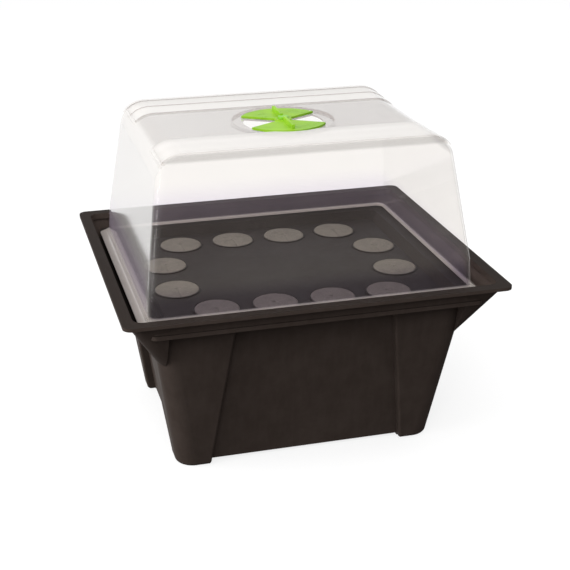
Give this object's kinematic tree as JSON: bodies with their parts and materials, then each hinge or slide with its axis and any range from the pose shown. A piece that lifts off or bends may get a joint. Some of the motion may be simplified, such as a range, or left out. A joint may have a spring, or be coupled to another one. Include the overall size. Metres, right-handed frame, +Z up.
{
  "type": "propagator with humidity dome",
  "caption": "Deep reservoir tank with a drop-in site tray, foam collars, a pump-fed spray manifold and a clear humidity dome with a rotary vent.",
  "frame": {"origin": "centre of the footprint, on the surface that the feet stand on", "axes": "+Z up, +X along the long side, +Y towards the back"},
  "size_m": [0.4, 0.354, 0.3451],
  "materials": {
    "tank_plastic": "moulded, satin with soft gloss at grazing angles",
    "tray_plastic": "moulded, satin",
    "dome_clear": "clear thermoformed sheet with a faint haze",
    "vent_green": "glossy lime green moulding",
    "vent_clip": "glossy lime green moulding",
    "pump_plastic": "black moulding",
    "knob_plastic": "black moulding",
    "rotor_plastic": "magnet rotor with moulded vanes",
    "shaft_ceramic": "polished ceramic",
    "soft_rubber": "soft black rubber",
    "pipe_plastic": "grey extruded pipe and fittings",
    "jet_plastic": "black micro-jet moulding",
    "collar_foam": "closed-cell foam"
  },
  "bodies": {
    "tank": {"reservoir_tank": "tank_plastic", "pump_body": "pump_plastic", "volute_cover": "pump_plastic", "intake_strainer": "pump_plastic", "impeller_shaft": "shaft_ceramic", "rear_bush": "soft_rubber", "front_bush": "soft_rubber", "suction_cups": "soft_rubber", "cable_gland": "soft_rubber", "riser_pipe": "pipe_plastic", "manifold_hub": "pipe_plastic", "spray_arm_right": "pipe_plastic", "end_cap_right": "pipe_plastic", "spray_head_right_inner": "jet_plastic", "spray_head_right_outer": "jet_plastic", "spray_arm_back": "pipe_plastic", "end_cap_back": "pipe_plastic", "spray_head_back_inner": "jet_plastic", "spray_head_back_outer": "jet_plastic", "spray_arm_left": "pipe_plastic", "end_cap_left": "pipe_plastic", "spray_head_left_inner": "jet_plastic", "spray_head_left_outer": "jet_plastic", "spray_arm_front": "pipe_plastic", "end_cap_front": "pipe_plastic", "spray_head_front_inner": "jet_plastic", "spray_head_front_outer": "jet_plastic"},
    "tray": {"site_tray": "tray_plastic"},
    "dome": {"humidity_dome": "dome_clear", "vent_pin": "vent_clip"},
    "vent": {"vent_rotor": "vent_green"},
    "pump_rotor": {"impeller": "rotor_plastic"},
    "regulator": {"flow_regulator": "knob_plastic"},
    "collar_01": {"foam_collar_01": "collar_foam"},
    "collar_02": {"foam_collar_02": "collar_foam"},
    "collar_03": {"foam_collar_03": "collar_foam"},
    "collar_04": {"foam_collar_04": "collar_foam"},
    "collar_05": {"foam_collar_05": "collar_foam"},
    "collar_06": {"foam_collar_06": "collar_foam"},
    "collar_07": {"foam_collar_07": "collar_foam"},
    "collar_08": {"foam_collar_08": "collar_foam"},
    "collar_09": {"foam_collar_09": "collar_foam"},
    "collar_10": {"foam_collar_10": "collar_foam"},
    "collar_11": {"foam_collar_11": "collar_foam"},
    "collar_12": {"foam_collar_12": "collar_foam"}
  },
  "joints": [
    {"name": "tray_lift", "type": "slide", "parent": "tank", "child": "tray", "axis": [0, 0, 1], "range_m": [0, 0.12]},
    {"name": "dome_lift", "type": "slide", "parent": "tray", "child": "dome", "axis": [0, 0, 1], "range_m": [0, 0.2]},
    {"name": "vent_turn", "type": "hinge", "parent": "dome", "child": "vent", "pos_m": [0.003, -0.004, 0.339], "axis": [0, 0, 1], "range_deg": [0, 90]},
    {"name": "pump_rotor_spin", "type": "hinge", "parent": "tank", "child": "pump_rotor", "pos_m": [-0.03, 0, 0.04], "axis": [1, 0, 0], "continuous": true},
    {"name": "regulator_turn", "type": "hinge", "parent": "tank", "child": "regulator", "pos_m": [0.033, 0, 0.04], "axis": [1, 0, 0], "range_deg": [0, 90]},
    {"name": "collar_01_lift", "type": "slide", "parent": "tray", "child": "collar_01", "axis": [0, 0, 1], "range_m": [0, 0.06]},
    {"name": "collar_02_lift", "type": "slide", "parent": "tray", "child": "collar_02", "axis": [0, 0, 1], "range_m": [0, 0.06]},
    {"name": "collar_03_lift", "type": "slide", "parent": "tray", "child": "collar_03", "axis": [0, 0, 1], "range_m": [0, 0.06]},
    {"name": "collar_04_lift", "type": "slide", "parent": "tray", "child": "collar_04", "axis": [0, 0, 1], "range_m": [0, 0.06]},
    {"name": "collar_05_lift", "type": "slide", "parent": "tray", "child": "collar_05", "axis": [0, 0, 1], "range_m": [0, 0.06]},
    {"name": "collar_06_lift", "type": "slide", "parent": "tray", "child": "collar_06", "axis": [0, 0, 1], "range_m": [0, 0.06]},
    {"name": "collar_07_lift", "type": "slide", "parent": "tray", "child": "collar_07", "axis": [0, 0, 1], "range_m": [0, 0.06]},
    {"name": "collar_08_lift", "type": "slide", "parent": "tray", "child": "collar_08", "axis": [0, 0, 1], "range_m": [0, 0.06]},
    {"name": "collar_09_lift", "type": "slide", "parent": "tray", "child": "collar_09", "axis": [0, 0, 1], "range_m": [0, 0.06]},
    {"name": "collar_10_lift", "type": "slide", "parent": "tray", "child": "collar_10", "axis": [0, 0, 1], "range_m": [0, 0.06]},
    {"name": "collar_11_lift", "type": "slide", "parent": "tray", "child": "collar_11", "axis": [0, 0, 1], "range_m": [0, 0.06]},
    {"name": "collar_12_lift", "type": "slide", "parent": "tray", "child": "collar_12", "axis": [0, 0, 1], "range_m": [0, 0.06]}
  ]
}
